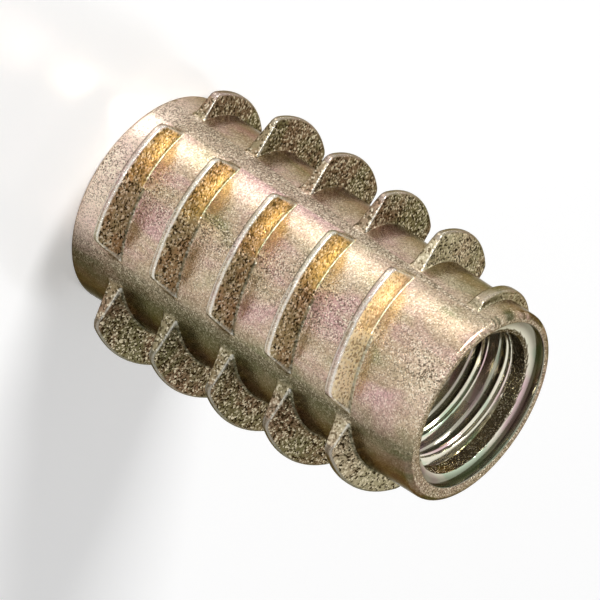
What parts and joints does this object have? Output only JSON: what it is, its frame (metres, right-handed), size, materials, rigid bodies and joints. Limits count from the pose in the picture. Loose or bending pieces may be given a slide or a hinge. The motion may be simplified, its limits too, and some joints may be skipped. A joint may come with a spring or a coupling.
{
  "type": "threaded insert",
  "caption": "Cast metal insert for wood: a tapered sleeve with an interrupted coarse fin helix outside, a threaded bore and a hexagon socket at the drive end.",
  "frame": {"origin": "centre of the drive end face, the flat face that it stands on", "axes": "+Z along the axis from the drive end to the threaded mouth; the four blocks of fins face +X, +Y, -X and -Y"},
  "size_m": [0.0102, 0.0102, 0.015],
  "materials": {
    "cast_body": "die-cast zinc with yellow chromate, sandy cast skin with burnished edges"
  },
  "bodies": {
    "root": {"insert_body": "cast_body"}
  },
  "joints": []
}
